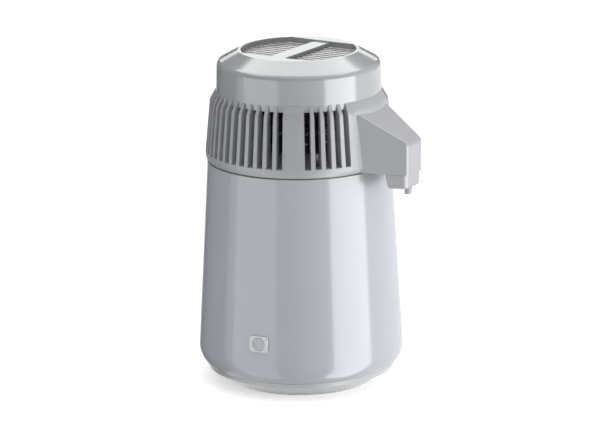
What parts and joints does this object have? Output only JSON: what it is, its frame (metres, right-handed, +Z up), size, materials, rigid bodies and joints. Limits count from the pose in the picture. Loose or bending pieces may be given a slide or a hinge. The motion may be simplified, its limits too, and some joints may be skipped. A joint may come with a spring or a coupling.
{
  "type": "countertop water distiller",
  "caption": "Countertop water distiller: tapered casing with inner boiler, lift-off vented fan head with top grille, side spout arm with push-fit nozzle cup, and a reset button.",
  "frame": {"origin": "centre of the rubber foot ring's underside, on the body's axis, at the table", "axes": "+Z up along the body's axis, +X along the spout away from the body, the reset button near -Y and the mains inlet at +Y"},
  "size_m": [0.2636, 0.2324, 0.376],
  "materials": {
    "casing_white": "glossy moulded plastic",
    "tray_white": "glossy moulded plastic",
    "head_white": "glossy moulded plastic",
    "grille_grey": "satin moulded plastic",
    "button_white": "satin moulded plastic",
    "foot_rubber": "matt rubber",
    "silicone": "translucent white silicone",
    "stainless": "deep drawn, satin",
    "zinc_steel": "zinc plated",
    "aluminium": "cast, plain",
    "fin_dark": "dark coated",
    "element_steel": "heat tinted",
    "black_plastic": "matt moulded plastic",
    "fan_grey": "matt moulded plastic",
    "ceramic": "glazed ceramic",
    "brass": "plain",
    "sachet": "non-woven fibre"
  },
  "bodies": {
    "base": {"outer_casing": "casing_white", "base_tray": "tray_white", "foot_ring": "foot_rubber", "base_plate": "zinc_steel", "base_screws": "zinc_steel", "boiler_pot": "stainless", "heater_plate": "aluminium", "heating_element": "element_steel", "element_pins": "brass", "thermostats": "ceramic", "thermostat_clip": "zinc_steel", "clip_screw": "zinc_steel", "tie_bolts": "zinc_steel", "tie_nuts": "zinc_steel", "terminal_block": "ceramic", "terminal_screws": "brass", "button_bezel": "button_white", "switch_housing": "black_plastic", "button_spring": "stainless", "mains_inlet": "black_plastic", "inlet_pins": "brass", "fan_socket": "black_plastic", "socket_contacts": "brass"},
    "reset_button": {"reset_button": "button_white"},
    "head": {"lid_seal": "silicone", "inner_lid": "stainless", "lid_spacers": "aluminium", "lid_studs": "stainless", "steam_baffle": "stainless", "deck_screws": "zinc_steel", "vent_ring": "head_white", "head_deck": "aluminium", "fan_lead_gland": "black_plastic", "top_cap": "head_white", "bracket_screws": "zinc_steel", "top_grille": "grille_grey", "motor_bracket": "zinc_steel", "fan_motor": "zinc_steel", "motor_screws": "zinc_steel", "condenser_tube": "stainless", "condenser_fins": "fin_dark", "coil_stands": "zinc_steel", "steam_manifold": "stainless", "steam_pipe": "stainless", "spout_housing": "head_white", "spout_floor": "head_white", "distillate_hose": "silicone"},
    "fan": {"fan_rotor": "fan_grey", "motor_shaft": "stainless", "fan_nut": "brass"},
    "nozzle": {"nozzle_cup": "head_white", "nozzle_lid": "head_white", "nozzle_seal": "silicone", "filter_cup": "head_white", "carbon_sachet": "sachet"}
  },
  "joints": [
    {"name": "head_lift", "type": "slide", "parent": "base", "child": "head", "axis": [0, 0, 1], "range_m": [0, 0.15]},
    {"name": "reset_press", "type": "slide", "parent": "base", "child": "reset_button", "axis": [-0.1355, 0.9891, -0.0572], "range_m": [0, 0.002], "stiffness_N_per_m": 1500, "springref_m": -0.001, "deforming": ["button_spring"]},
    {"name": "fan_spin", "type": "hinge", "parent": "head", "child": "fan", "pos_m": [0, 0, 0.305], "axis": [0, 0, 1], "continuous": true},
    {"name": "nozzle_pull", "type": "slide", "parent": "head", "child": "nozzle", "axis": [0, 0, -1], "range_m": [0, 0.04]}
  ]
}
